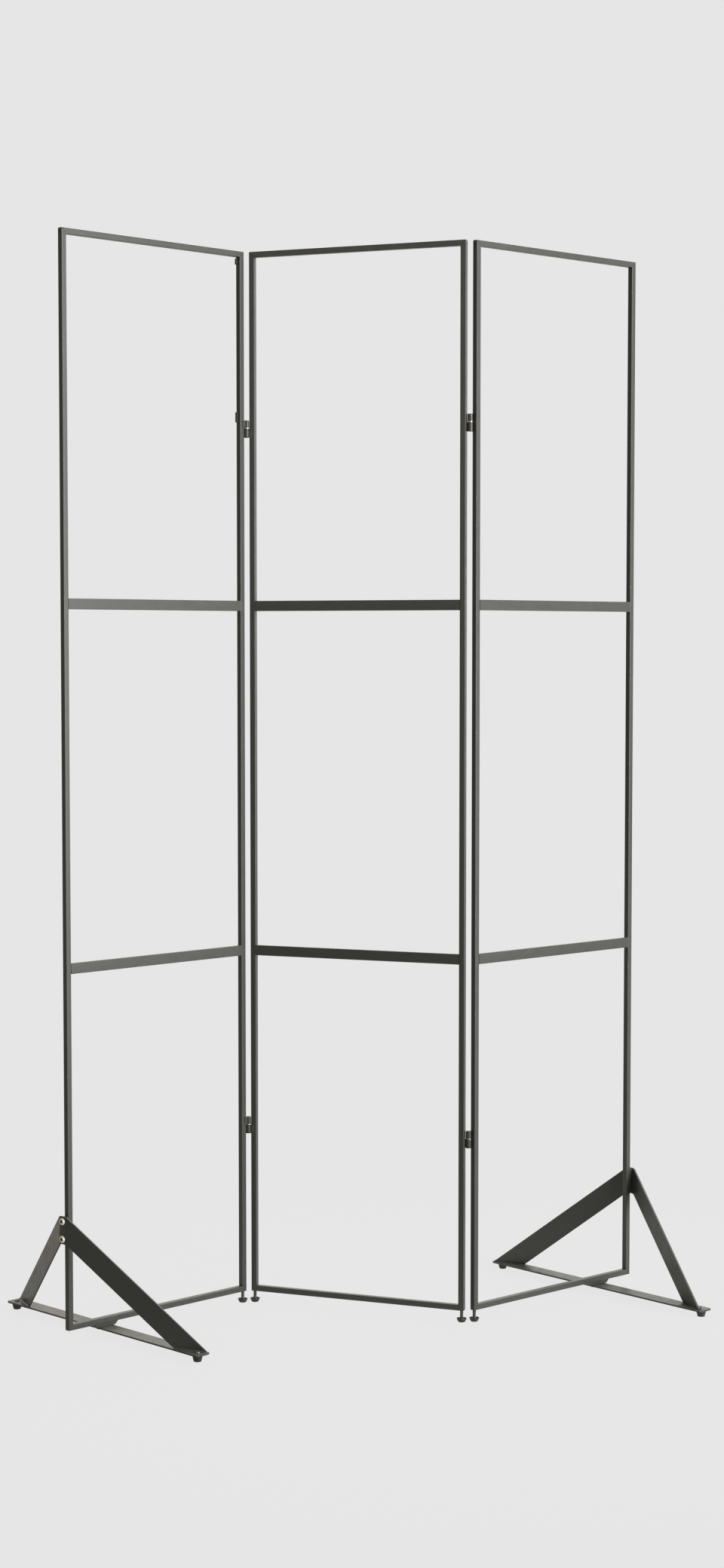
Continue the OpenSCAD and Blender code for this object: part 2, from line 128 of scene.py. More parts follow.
# wanted is asked about each element, and what it says yes to ends up selected
def pick(piece, mode, wanted):
    bpy.ops.mesh.select_mode(type=mode)
    bpy.ops.mesh.select_all(action="DESELECT")
    shape = bmesh.from_edit_mesh(piece.data)
    parts = {"VERT": shape.verts, "EDGE": shape.edges, "FACE": shape.faces}[mode]
    for part in parts:
        if wanted(part):
            part.select_set(True)
    bmesh.update_edit_mesh(piece.data)


def runsAlong(axis):
    def test(edge):
        run = edge.verts[1].co - edge.verts[0].co
        return abs(run[axis]) > 0.99 * run.length
    return test


def nameLast(name):
    piece = bpy.context.object
    piece.name = name
    piece.data.name = name
    bpy.ops.object.transform_apply(location=True, rotation=True, scale=True)
    return piece


def newBox(name, low, high):
    low, high = Vector(low), Vector(high)
    bpy.ops.object.select_all(action="DESELECT")
    bpy.ops.mesh.primitive_cube_add(size=1, location=(low + high) / 2, scale=high - low)
    return nameLast(name)


def newRod(name, radius, low, high, sides=48):
    bpy.ops.object.select_all(action="DESELECT")
    bpy.ops.mesh.primitive_cylinder_add(
        vertices=sides, radius=radius, depth=high - low, location=(0, 0, (low + high) / 2)
    )
    return nameLast(name)


# a chain of edges drawn point by point, from a plane that is merged to one vertex
def newChain(name, points):
    bpy.ops.object.select_all(action="DESELECT")
    bpy.ops.mesh.primitive_plane_add(size=1 * mm, location=points[0])
    piece = nameLast(name)
    openEdit(piece, "VERT")
    bpy.ops.mesh.select_all(action="SELECT")
    bpy.ops.mesh.merge(type="CENTER")
    for start, end in zip(points, points[1:]):
        step = Vector(end) - Vector(start)
        bpy.ops.mesh.extrude_region_move(TRANSFORM_OT_translate={"value": step})
    closeEdit()
    return piece


# profile points are (radius, height) in millimetres, spun about Z
def newTurned(name, profile, steps=48):
    piece = newChain(name, [(r * mm, 0, z * mm) for r, z in profile])
    openEdit(piece, "VERT")
    bpy.ops.mesh.select_all(action="SELECT")
    bpy.ops.mesh.spin(steps=steps, angle=2 * math.pi, center=(0, 0, 0), axis=(0, 0, 1))
    bpy.ops.mesh.select_all(action="SELECT")
    bpy.ops.mesh.remove_doubles(threshold=0.002 * mm)
    bpy.ops.mesh.normals_make_consistent(inside=False)
    closeEdit()
    return piece


def cutAway(point, normal, fill=True):
    bpy.ops.mesh.bisect(plane_co=point, plane_no=normal, use_fill=fill, clear_outer=True)


def addModifier(piece, kind, **settings):
    bpy.ops.object.select_all(action="DESELECT")
    piece.select_set(True)
    bpy.context.view_layer.objects.active = piece
    modifier = piece.modifiers.new(kind.lower(), kind)
    for key, value in settings.items():
        setattr(modifier, key, value)
    bpy.ops.object.modifier_apply(modifier=modifier.name)


def softenEdges(piece, width, segments=2, angle=40):
    addModifier(
        piece, "BEVEL", width=width, segments=segments, limit_method="ANGLE",
        angle_limit=math.radians(angle), harden_normals=False,
    )


def subtract(piece, cutter):
    addModifier(piece, "BOOLEAN", operation="DIFFERENCE", object=cutter, solver="EXACT")
    bpy.data.objects.remove(cutter, do_unlink=True)


def moved(piece, place):
    bpy.ops.object.select_all(action="DESELECT")
    piece.select_set(True)
    bpy.context.view_layer.objects.active = piece
    piece.matrix_world = place
    bpy.context.view_layer.update()
    bpy.ops.object.transform_apply(location=True, rotation=True, scale=True)
    return piece


def copied(piece, name, place=None):
    bpy.ops.object.select_all(action="DESELECT")
    piece.select_set(True)
    bpy.context.view_layer.objects.active = piece
    bpy.ops.object.duplicate(linked=False)
    twin = bpy.context.object
    twin.name = name
    twin.data.name = name
    return moved(twin, place) if place is not None else twin


def joined(name, pieces):
    bpy.ops.object.select_all(action="DESELECT")
    for piece in pieces:
        piece.select_set(True)
    bpy.context.view_layer.objects.active = pieces[0]
    if len(pieces) > 1:
        bpy.ops.object.join()
    return nameLast(name)


# narrow faces are roundings, where a coat rubs first
def markEdges(piece, narrow=1.3 * mm):
    mesh = piece.data
    layer = mesh.attributes.new("edgeWear", "FLOAT", "FACE")
    for face in mesh.polygons:
        corners = [mesh.vertices[i].co for i in face.vertices]
        longest = max((a - b).length for a, b in zip(corners, corners[1:] + corners[:1]))
        layer.data[face.index].value = 1.0 if face.area < narrow * longest else 0.0


def finished(piece, material, slotName, body, *nodes, smooth=32):
    openEdit(piece)
    bpy.ops.mesh.select_all(action="SELECT")
    bpy.ops.mesh.normals_make_consistent(inside=False)
    closeEdit()
    bpy.ops.object.shade_smooth_by_angle(angle=math.radians(smooth))
    addModifier(piece, "WEIGHTED_NORMAL", keep_sharp=True)
    markEdges(piece)
    if not piece.data.materials:
        piece.data.materials.append(material)
    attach(piece, body)
    if nodes:
        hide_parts(*nodes)
    return piece


def addNode(tree, kind, **settings):
    node = tree.nodes.new(kind)
    for key, value in settings.items():
        setattr(node, key, value)
    return node


def newGroup(name, inputs, outputs):
    group = bpy.data.node_groups.new(name, "ShaderNodeTree")
    for label, kind, value in inputs:
        socket = group.interface.new_socket(label, in_out="INPUT", socket_type=kind)
        socket.default_value = value
    for label, kind in outputs:
        group.interface.new_socket(label, in_out="OUTPUT", socket_type=kind)
    return group, addNode(group, "NodeGroupInput"), addNode(group, "NodeGroupOutput")


def addNoise(tree, scale, detail=3.0, rough=0.5):
    where = addNode(tree, "ShaderNodeTexCoord")
    grain = addNode(tree, "ShaderNodeTexNoise")
    tree.links.new(where.outputs["Object"], grain.inputs["Vector"])
    grain.inputs["Detail"].default_value = detail
    grain.inputs["Roughness"].default_value = rough
    if isinstance(scale, float):
        grain.inputs["Scale"].default_value = scale
    else:
        tree.links.new(scale, grain.inputs["Scale"])
    return grain


def addRange(tree, value, low, high, toLow, toHigh):
    mapped = addNode(tree, "ShaderNodeMapRange")
    tree.links.new(value, mapped.inputs["Value"])
    numbers = {"From Min": low, "From Max": high, "To Min": toLow, "To Max": toHigh}
    for label, number in numbers.items():
        if isinstance(number, (int, float)):
            mapped.inputs[label].default_value = number
        else:
            tree.links.new(number, mapped.inputs[label])
    return mapped.outputs["Result"]


def addMath(tree, operation, first, second):
    node = addNode(tree, "ShaderNodeMath", operation=operation)
    for socket, value in zip(node.inputs, (first, second)):
        if isinstance(value, (int, float)):
            socket.default_value = value
        else:
            tree.links.new(value, socket)
    return node.outputs[0]


def addMix(tree, factor, first, second):
    node = addNode(tree, "ShaderNodeMix", data_type="RGBA")
    pairs = ((node.inputs[0], factor), (node.inputs[6], first), (node.inputs[7], second))
    for socket, value in pairs:
        if isinstance(value, (int, float)):
            socket.default_value = value
        elif isinstance(value, tuple):
            socket.default_value = value + (1.0,)
        else:
            tree.links.new(value, socket)
    return node.outputs[2]


# slow and quick drifts of tone over a surface
toneGroup, toneIn, toneOut = newGroup(
    "toneDrift",
    [("Scale", "NodeSocketFloat", 6.0), ("Drift", "NodeSocketFloat", 0.1)],
    [("Tone", "NodeSocketFloat")],
)
wideTone = addNoise(toneGroup, toneIn.outputs["Scale"], 3.0)
fineScale = addMath(toneGroup, "MULTIPLY", toneIn.outputs["Scale"], 34.0)
fineTone = addNoise(toneGroup, fineScale, 2.0)
toneSum = addMath(toneGroup, "ADD", wideTone.outputs["Fac"], fineTone.outputs["Fac"])
toneCentred = addMath(toneGroup, "SUBTRACT", toneSum, 1.0)
toneScaled = addMath(toneGroup, "MULTIPLY", toneCentred, toneIn.outputs["Drift"])
toneGroup.links.new(addMath(toneGroup, "ADD", toneScaled, 1.0), toneOut.inputs["Tone"])

# the fine skin of a sprayed, plated or moulded surface
skinGroup, skinIn, skinOut = newGroup(
    "surfaceSkin",
    [("Scale", "NodeSocketFloat", 900.0), ("Pits", "NodeSocketFloat", 0.2)],
    [("Height", "NodeSocketFloat")],
)
skinFine = addNoise(skinGroup, skinIn.outputs["Scale"], 2.0)
pitScale = addMath(skinGroup, "MULTIPLY", skinIn.outputs["Scale"], 0.35)
skinPits = addNoise(skinGroup, pitScale, 1.0)
pitDepth = addRange(skinGroup, skinPits.outputs["Fac"], 0.3, 0.42, 1.0, 0.0)
pitCut = addMath(skinGroup, "MULTIPLY", pitDepth, skinIn.outputs["Pits"])
skinGroup.links.new(
    addMath(skinGroup, "SUBTRACT", skinFine.outputs["Fac"], pitCut), skinOut.inputs["Height"]
)

# rubbed spots on the roundings, which carry the edgeWear attribute
wearGroup, wearIn, wearOut = newGroup(
    "edgeRub",
    [("Scale", "NodeSocketFloat", 160.0), ("Cover", "NodeSocketFloat", 0.1)],
    [("Mask", "NodeSocketFloat")],
)
wearEdge = addNode(wearGroup, "ShaderNodeAttribute", attribute_name="edgeWear")
wearNoise = addNoise(wearGroup, wearIn.outputs["Scale"], 4.0, 0.65)
wearStart = addMath(wearGroup, "SUBTRACT", 0.74, wearIn.outputs["Cover"])
wearEnd = addMath(wearGroup, "ADD", wearStart, 0.06)
wearSpots = addRange(wearGroup, wearNoise.outputs["Fac"], wearStart, wearEnd, 0.0, 1.0)
wearGroup.links.new(
    addMath(wearGroup, "MULTIPLY", wearSpots, wearEdge.outputs["Fac"]), wearOut.inputs["Mask"]
)

# dust that settles on what faces up
dustGroup, dustIn, dustOut = newGroup(
    "dustOnTop",
    [("Scale", "NodeSocketFloat", 45.0), ("Amount", "NodeSocketFloat", 0.2)],
    [("Mask", "NodeSocketFloat")],
)
dustFacing = addNode(dustGroup, "ShaderNodeNewGeometry")
dustSplit = addNode(dustGroup, "ShaderNodeSeparateXYZ")
dustGroup.links.new(dustFacing.outputs["Normal"], dustSplit.inputs["Vector"])
dustUp = addRange(dustGroup, dustSplit.outputs["Z"], 0.55, 0.98, 0.0, 1.0)
dustNoise = addNoise(dustGroup, dustIn.outputs["Scale"], 5.0, 0.6)
dustPatch = addRange(dustGroup, dustNoise.outputs["Fac"], 0.3, 0.75, 0.35, 1.0)
dustLay = addMath(dustGroup, "MULTIPLY", dustUp, dustPatch)
dustGroup.links.new(
    addMath(dustGroup, "MULTIPLY", dustLay, dustIn.outputs["Amount"]), dustOut.inputs["Mask"]
)


def useGroup(tree, group, **values):
    node = addNode(tree, "ShaderNodeGroup", node_tree=group)
    for label, value in values.items():
        node.inputs[label].default_value = value
    return node


# one finish: a base colour that drifts, rubbed edges, dust, a skin and an uneven gloss
def newFinish(name, look):
    material = bpy.data.materials.new(name)
    material.use_nodes = True
    tree = material.node_tree
    shader = tree.nodes["Principled BSDF"]
    tone = useGroup(tree, toneGroup, Scale=look["toneScale"], Drift=look["toneDrift"])
    skin = useGroup(tree, skinGroup, Scale=look["skinScale"], Pits=look["pits"])
    rub = useGroup(tree, wearGroup, Scale=look["rubScale"], Cover=look["rubCover"])
    dust = useGroup(tree, dustGroup, Scale=look["dustScale"], Amount=look["dust"])
    toned = addNode(tree, "ShaderNodeVectorMath", operation="SCALE")
    toned.inputs[0].default_value = look["colour"]
    tree.links.new(tone.outputs["Tone"], toned.inputs["Scale"])
    rubbed = addMix(tree, rub.outputs["Mask"], toned.outputs[0], look["rubColour"])
    dusty = addMix(tree, dust.outputs["Mask"], rubbed, look["dustColour"])
    tree.links.new(dusty, shader.inputs["Base Color"])
    glossNoise = addNoise(tree, look["glossScale"], 3.0)
    low, high = look["gloss"]
    gloss = addRange(tree, glossNoise.outputs["Fac"], 0.3, 0.7, low, high)
    rough = addMath(tree, "ADD", gloss, addMath(tree, "MULTIPLY", dust.outputs["Mask"], 0.3))
    tree.links.new(rough, shader.inputs["Roughness"])
    shader.inputs["Metallic"].default_value = look["metal"]
    shader.inputs["Specular IOR Level"].default_value = look["specular"]
    bump = addNode(tree, "ShaderNodeBump")
    bump.inputs["Strength"].default_value = look["bump"]
    bump.inputs["Distance"].default_value = look["bumpDepth"]
    tree.links.new(skin.outputs["Height"], bump.inputs["Height"])
    tree.links.new(bump.outputs["Normal"], shader.inputs["Normal"])
    return material


powderCoat = newFinish("powderCoat", {
    "colour": (0.036, 0.036, 0.030),
    "toneScale": 5.0, "toneDrift": 0.12,
    "skinScale": 1400.0, "pits": 0.3, "bump": 0.13, "bumpDepth": 0.3 * mm,
    "rubScale": 150.0, "rubCover": 0.07, "rubColour": (0.23, 0.23, 0.2),
    "dustScale": 38.0, "dust": 0.22, "dustColour": (0.3, 0.3, 0.265),
    "glossScale": 70.0, "gloss": (0.32, 0.42),
    "metal": 0.0, "specular": 0.5,
})
brightZinc = newFinish("brightZinc", {
    "colour": (0.86, 0.82, 0.68),
    "toneScale": 120.0, "toneDrift": 0.16,
    "skinScale": 1600.0, "pits": 0.2, "bump": 0.12, "bumpDepth": 0.1 * mm,
    "rubScale": 400.0, "rubCover": 0.12, "rubColour": (0.6, 0.58, 0.52),
    "dustScale": 200.0, "dust": 0.1, "dustColour": (0.4, 0.39, 0.34),
    "glossScale": 300.0, "gloss": (0.34, 0.46),
    "metal": 0.3, "specular": 0.5,
})
platedSteel = newFinish("platedSteel", {
    "colour": (0.5, 0.5, 0.47),
    "toneScale": 90.0, "toneDrift": 0.2,
    "skinScale": 1500.0, "pits": 0.25, "bump": 0.15, "bumpDepth": 0.1 * mm,
    "rubScale": 350.0, "rubCover": 0.1, "rubColour": (0.7, 0.69, 0.65),
    "dustScale": 150.0, "dust": 0.12, "dustColour": (0.3, 0.29, 0.26),
    "glossScale": 260.0, "gloss": (0.3, 0.45),
    "metal": 1.0, "specular": 0.5,
})
studSteel = newFinish("studSteel", {
    "colour": (0.13, 0.13, 0.115),
    "toneScale": 110.0, "toneDrift": 0.3,
    "skinScale": 1400.0, "pits": 0.3, "bump": 0.15, "bumpDepth": 0.1 * mm,
    "rubScale": 500.0, "rubCover": 0.2, "rubColour": (0.38, 0.37, 0.34),
    "dustScale": 180.0, "dust": 0.15, "dustColour": (0.3, 0.29, 0.26),
    "glossScale": 260.0, "gloss": (0.34, 0.5),
    "metal": 0.85, "specular": 0.5,
})
bronze = newFinish("bronze", {
    "colour": (0.72, 0.6, 0.4),
    "toneScale": 150.0, "toneDrift": 0.2,
    "skinScale": 1800.0, "pits": 0.2, "bump": 0.1, "bumpDepth": 0.1 * mm,
    "rubScale": 500.0, "rubCover": 0.1, "rubColour": (0.85, 0.75, 0.55),
    "dustScale": 200.0, "dust": 0.05, "dustColour": (0.3, 0.27, 0.2),
    "glossScale": 300.0, "gloss": (0.25, 0.4),
    "metal": 1.0, "specular": 0.5,
})
nylon = newFinish("nylon", {
    "colour": (0.02, 0.02, 0.018),
    "toneScale": 30.0, "toneDrift": 0.18,
    "skinScale": 1100.0, "pits": 0.1, "bump": 0.25, "bumpDepth": 0.2 * mm,
    "rubScale": 260.0, "rubCover": 0.1, "rubColour": (0.16, 0.16, 0.145),
    "dustScale": 90.0, "dust": 0.25, "dustColour": (0.27, 0.26, 0.23),
    "glossScale": 120.0, "gloss": (0.42, 0.58),
    "metal": 0.0, "specular": 0.45,
})
print("scene: finishes mixed")


tubeLook = {
    "cornerRadius": 1.1 * mm,
    "cornerSteps": 3,
    "seamGroove": 0.28 * mm,
    "groundTip": 0.8 * mm,  # taken off the sharp corner of each mitre
    "ventRadius": 1.5 * mm,
    "ventDrop": 7.0 * mm,
    "ventDepth": 3.0 * mm,
    "ventRim": 0.5 * mm,
}
w, t, h = panelWidth, tubeSide, frameHeight  # one panel's width, tube and height


# a length of square tube with rounded corners, mitred at both ends where the frame's
# corners are, with a groove round each seam
def mitredTube(name, low, high, corners):
    piece = newBox(name, low, high)
    size = Vector(high) - Vector(low)
    axis = max(range(3), key=lambda i: size[i])
    openEdit(piece)
    pick(piece, "EDGE", runsAlong(axis))
    bpy.ops.mesh.bevel(
        offset=tubeLook["cornerRadius"], segments=tubeLook["cornerSteps"], affect="EDGES"
    )
    middle = Vector((w / 2, 0, h / 2))
    for x, z in corners:
        corner = Vector((x, 0, z))
        outwards = Vector((math.copysign(1, x - middle.x), 0, math.copysign(1, z - middle.z)))
        lean = 1 if axis == 2 else -1
        past = Vector((-outwards.x * lean, 0, outwards.z * lean))
        bpy.ops.mesh.select_all(action="SELECT")
        cutAway(corner, past)
        bpy.ops.mesh.bevel(offset=tubeLook["seamGroove"], segments=1, affect="EDGES")
        bpy.ops.mesh.select_all(action="SELECT")
        cutAway(corner - outwards * tubeLook["groundTip"] / 2, outwards)
    closeEdit()
    return piece


# a small round hole in the side that faces away from the frame
def ventHole(piece, side):
    depth, radius = tubeLook["ventDepth"], tubeLook["ventRadius"]
    cutter = newRod("cutter", radius, -depth, depth, 24)
    spot = Vector((side, t / 2, h - tubeLook["ventDrop"]))
    moved(cutter, Matrix.Translation(spot) @ Matrix.Rotation(math.pi / 2, 4, "Y"))
    subtract(piece, cutter)
    openEdit(piece)

    def onRim(edge):
        offsets = [v.co - spot for v in edge.verts]
        return all(abs(o.x) < 1e-6 and abs(o.length - radius) < 1e-5 for o in offsets)

    pick(piece, "EDGE", onRim)
    bpy.ops.mesh.bevel(offset=tubeLook["ventRim"], segments=3, affect="EDGES")
    closeEdit()


tubeMasters = {
    "first": mitredTube("firstTubeMaster", (0, 0, 0), (t, t, h), [(0, 0), (0, h)]),
    "last": mitredTube("lastTubeMaster", (w - t, 0, 0), (w, t, h), [(w, 0), (w, h)]),
    "bottom": mitredTube("bottomTubeMaster", (0, 0, 0), (w, t, t), [(0, 0), (w, 0)]),
    "top": mitredTube("topTubeMaster", (0, 0, h - t), (w, t, h), [(0, h), (w, h)]),
}
ventHole(tubeMasters["first"], 0)
ventHole(tubeMasters["last"], w)
for side, panel in panels.items():
    firstWord, lastWord = panel["uprights"]
    jobs = (
        ("first", f"{side}_{firstWord}_upright", side + firstWord.title() + "Tube"),
        ("last", f"{side}_{lastWord}_upright", side + lastWord.title() + "Tube"),
        ("bottom", f"{side}_bottom_rail", side + "BottomTube"),
        ("top", f"{side}_top_rail", side + "TopTube"),
    )
    for part, node, name in jobs:
        piece = copied(tubeMasters[part], name, panel["place"])
        finished(piece, powderCoat, "powder_coat", panel["body"], node)
print("scene: twelve lengths of tube mitred")


crossbarLook = {
    "edgeRadius": 0.8 * mm,
    "edgeSteps": 2,
}


def crossbar(name, front, low, high):
    piece = newBox(name, (t, front, low), (w - t, front + crossThick, high))
    openEdit(piece)
    pick(piece, "EDGE", runsAlong(0))
    bpy.ops.mesh.bevel(
        offset=crossbarLook["edgeRadius"], segments=crossbarLook["edgeSteps"], affect="EDGES"
    )
    closeEdit()
    return piece


for side, panel in panels.items():
    for level in ("low", "high"):
        node = f"{side}_{level}_crossbar"
        low, high = boxIn(node, panel["place"])
        piece = crossbar(side + level.title() + "Bar", panel["crossFront"], low.z, high.z)
        moved(piece, panel["place"])
        finished(piece, powderCoat, "powder_coat", panel["body"], node)
print("scene: six crossbars in place")


beadLook = {
    "radius": 1.25,
    "ripple": 0.09,
    "rippleStep": 1.5,
    "pointStep": 0.3,
    "drift": 0.16,  # slow swelling along the bead
    "driftScale": 0.4,
    "endSize": 0.45,
    "sides": 10,
    "margin": 1.5 * mm,  # from the bead's end to the crossbar's edge
}


# a run of weld, half sunk in the corner that it fills
def weldBead(name, start, end, radius=beadLook["radius"]):
    start, end = Vector(start), Vector(end)
    length = (end - start).length / mm
    points = max(6, round(length / beadLook["pointStep"]))
    profile = [(0, 0)]
    for i in range(points + 1):
        z = length * i / points
        wave = beadLook["ripple"] * math.cos(2 * math.pi * z / beadLook["rippleStep"])
        spot = start / mm + z * up
        drift = beadLook["drift"] * noise.noise(spot * beadLook["driftScale"])
        fromEnd = min(z, length - z) / (2 * radius)
        profile.append((radius * (1 + wave + drift) * min(1.0, beadLook["endSize"] + fromEnd), z))
    profile.append((0, length))
    piece = newTurned(name, profile, beadLook["sides"])
    turn = (end - start).to_track_quat("Z", "Y").to_matrix().to_4x4()
    return moved(piece, Matrix.Translation(start) @ turn)


for side, panel in panels.items():
    behind = panel["crossFront"] + crossThick if side != "right" else panel["crossFront"]
    beads = []
    for level in ("low", "high"):
        low, high = boxIn(f"{side}_{level}_crossbar", panel["place"])
        for x in (t, w - t):
            bottom, top = low.z + beadLook["margin"], high.z - beadLook["margin"]
            beads.append(weldBead("bead", (x, behind, bottom), (x, behind, top)))
    piece = moved(joined(side + "CrossbarWelds", beads), panel["place"])
    finished(piece, powderCoat, "powder_coat", panel["body"])
print("scene: crossbar welds laid")


hingeLook = {
    "leafThick": 1.6 * mm,
    "leafLap": 4.0 * mm,
    "leafCorner": 0.9 * mm,
    "leafShort": 0.4 * mm,  # how far the leaf stops short of the barrel's ends
    "webHalf": 1.2 * mm,
    "closedEnd": 1.3 * mm,
    "openEnd": 0.4 * mm,
    "edge": 0.25 * mm,
    "bead": 0.8,
    "beadMargin": 1.2 * mm,
}
barrelRadius = (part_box("left_hinge_washers")[1].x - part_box("left_hinge_washers")[0].x) / 2


# half a hinge with its axis at zero: the tube it is welded to lies towards toTube in X,
# and the tube's face is on the side that toFace points away from
def hingeHalf(name, low, high, toTube, toFace, closedBelow):
    barrel = newRod(name, barrelRadius, low, high)
    openEdit(barrel)
    ends = {low: closedBelow, high: not closedBelow}
    for level, closed in ends.items():
        pick(barrel, "EDGE", lambda e: all(abs(v.co.z - level) < 1e-6 for v in e.verts))
        width = hingeLook["closedEnd"] if closed else hingeLook["openEnd"]
        bpy.ops.mesh.bevel(offset=width, segments=3, affect="EDGES")
    closeEdit()
    thick = hingeLook["leafThick"] * toFace
    reach = (halfGap + hingeLook["leafLap"]) * toTube
    bottom, top = low + hingeLook["leafShort"], high - hingeLook["leafShort"]
    corner = Vector((min(0, reach), min(0, thick), bottom))
    leaf = newBox("leaf", corner, (max(0, reach), max(0, thick), top))
    openEdit(leaf)
    pick(leaf, "EDGE", lambda e: runsAlong(1)(e) and abs(e.verts[0].co.x - reach) < 1e-6)
    bpy.ops.mesh.bevel(offset=hingeLook["leafCorner"], segments=3, affect="EDGES")
    closeEdit()
    softenEdges(leaf, hingeLook["edge"])
    webEnd, half = halfGap * toTube, hingeLook["webHalf"]
    bottom, top = bottom + hingeLook["edge"], top - hingeLook["edge"]
    web = newBox("web", (min(0, webEnd), -half, bottom), (max(0, webEnd), half, top))
    softenEdges(web, hingeLook["edge"])
    bead = hingeLook["bead"]
    inner = low + hingeLook["beadMargin"], high - hingeLook["beadMargin"]
    side = -half * toFace
    runs = [weldBead("bead", (webEnd, side, inner[0]), (webEnd, side, inner[1]), bead)]
    lapEnd = reach - hingeLook["edge"] * toTube
    runs.append(weldBead("bead", (lapEnd, 0, inner[0]), (lapEnd, 0, inner[1]), bead))
    return joined(name, [barrel, leaf, web] + runs)


# the panel each half is welded to, its axis there, and the ways to its tube and off its face
hingeSides = {
    "left_base": ("middle", -halfGap, 0, 1, -1),
    "right_base": ("middle", w + halfGap, t, -1, 1),
    "left_socket": ("left", w + halfGap, 0, -1, -1),
    "right_socket": ("right", w + halfGap, 0, -1, -1),
}
for key, (host, x, y, toTube, toFace) in hingeSides.items():
    side, part = key.split("_")
    panel = panels[host]
    for level in ("low", "high"):
        node = f"{side}_{level}_hinge_{part}"
        low, high = boxIn(node, panel["place"])
        name = side + level.title() + "Hinge" + part.title()
        piece = hingeHalf(name, 0, high.z - low.z, toTube, toFace, part == "base")
        moved(piece, panel["place"] @ Matrix.Translation((x, y, low.z)))
        finished(piece, powderCoat, "powder_coat", panel["body"], node)
print("scene: four lift-off hinges made")


studLook = {
    "pitch": 1.0,
    "rootRadius": 2.42,
    "crestRadius": 2.98,
    "spareTurns": 3,  # cut off again at the ends
    "steps": 22,
}
padLook = {
    "wall": 1.5,
    "baseRadius": 6.0,
    "floor": 1.5,
    "hubRadius": 4.3,
    "hubHeight": 4.5,
    "bore": 3.06,  # the stud turns in it
}


# a threaded rod from zero up, cut square at both ends
def threadedRod(name, length):
    pitch, root, crest = studLook["pitch"], studLook["rootRadius"], studLook["crestRadius"]
    tooth = [(root, 0), (crest, 0.4), (crest, 0.55), (root, 0.95), (root, 1.0)]
    piece = newChain(name, [(r * mm, 0, z * pitch * mm) for r, z in tooth])
    turns = int(length / (pitch * mm)) + studLook["spareTurns"]
    addModifier(
        piece, "SCREW", angle=2 * math.pi, screw_offset=pitch * mm, iterations=turns,
        steps=studLook["steps"], render_steps=studLook["steps"],
        use_merge_vertices=True, merge_threshold=0.001 * mm,
    )
    moved(piece, Matrix.Translation((0, 0, -1.2 * pitch * mm)))
    openEdit(piece)
    bpy.ops.mesh.select_all(action="SELECT")
    bpy.ops.mesh.remove_doubles(threshold=0.002 * mm)
    bpy.ops.mesh.select_all(action="SELECT")
    cutAway((0, 0, 0), (0, 0, -1))
    bpy.ops.mesh.select_all(action="SELECT")
    cutAway((0, 0, length), (0, 0, 1))
    closeEdit()
    return piece


# a shallow cup with a hub in it, in millimetres from its foot
def footPad(name, rim, height):
    wall, base, bore = padLook["wall"], padLook["baseRadius"], padLook["bore"]
    floorZ, hub, hubZ = padLook["floor"], padLook["hubRadius"], padLook["hubHeight"]
    lean = (rim - base) / height
    return newTurned(name, [
        (0, 0), (base - 1.1, 0), (base - 0.45, 0.12), (base - 0.05, 0.45),
        (base + lean * 1.6, 1.7), (base + lean * 3.6, 3.4), (rim - 0.25, height - 1.0),
        (rim, height - 0.55), (rim - 0.05, height - 0.2), (rim - 0.3, height),
        (rim - wall + 0.2, height), (rim - wall, height - 0.25),
        (base + lean * 2.2 - wall, 3.0), (base - 0.7, floorZ + 1.15), (base - 1.2, floorZ + 1.0),
        (hub + 0.2, floorZ + 1.0), (hub, floorZ + 1.3), (hub, hubZ - 0.3), (hub - 0.3, hubZ),
        (bore + 0.14, hubZ), (bore, hubZ - 0.2), (bore, floorZ + 0.1), (0, floorZ + 0.1),
    ], 56)


feet = ("left_foot", "middle_left_foot", "middle_right_foot", "right_foot")
padLow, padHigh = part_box("middle_left_foot_pad")
studLow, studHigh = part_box("middle_left_foot_stud")
padMaster = footPad("footPadMaster", (padHigh.x - padLow.x) / 2 / mm, padHigh.z / mm)
studMaster = threadedRod("studMaster", studHigh.z - studLow.z)
for foot in feet:
    centre = centreOf(foot + "_pad")
    words = foot.split("_")
    name = words[0] + "".join(word.title() for word in words[1:])
    pad = copied(padMaster, name + "Cup", Matrix.Translation((centre.x, centre.y, 0)))
    finished(pad, nylon, "glide_plastic", foot + "_pad", foot + "_pad")
    stud = copied(studMaster, name + "Thread", Matrix.Translation((centre.x, centre.y, studLow.z)))
    finished(stud, studSteel, "stud_steel", foot + "_stud", foot + "_stud", smooth=28)
print("scene: four levelling feet threaded")


strapLook = {
    "plateWidth": 16 * mm,
    "plateHeight": 47 * mm,
    "footBend": 4.5 * mm,
    "footBendSteps": 6,
    "plateBend": 2.6 * mm,
    "edgeRadius": 0.45 * mm,
    "edgeSteps": 2,
    "edgeAngle": 50,
    "tipCorner": 4.0 * mm,
    "tipSteps": 5,
    "toeReach": 40 * mm,
    "spare": 1 * mm,  # drawn past the outline, then cut off
}


# the stand's axes: X runs in from the panel's outer edge, Y across the tube's middle
def standParts(side):
    panel = panels[side]
    place = panel["place"] @ Matrix.Translation((0, t / 2, 0))
    return place, panel["body"]


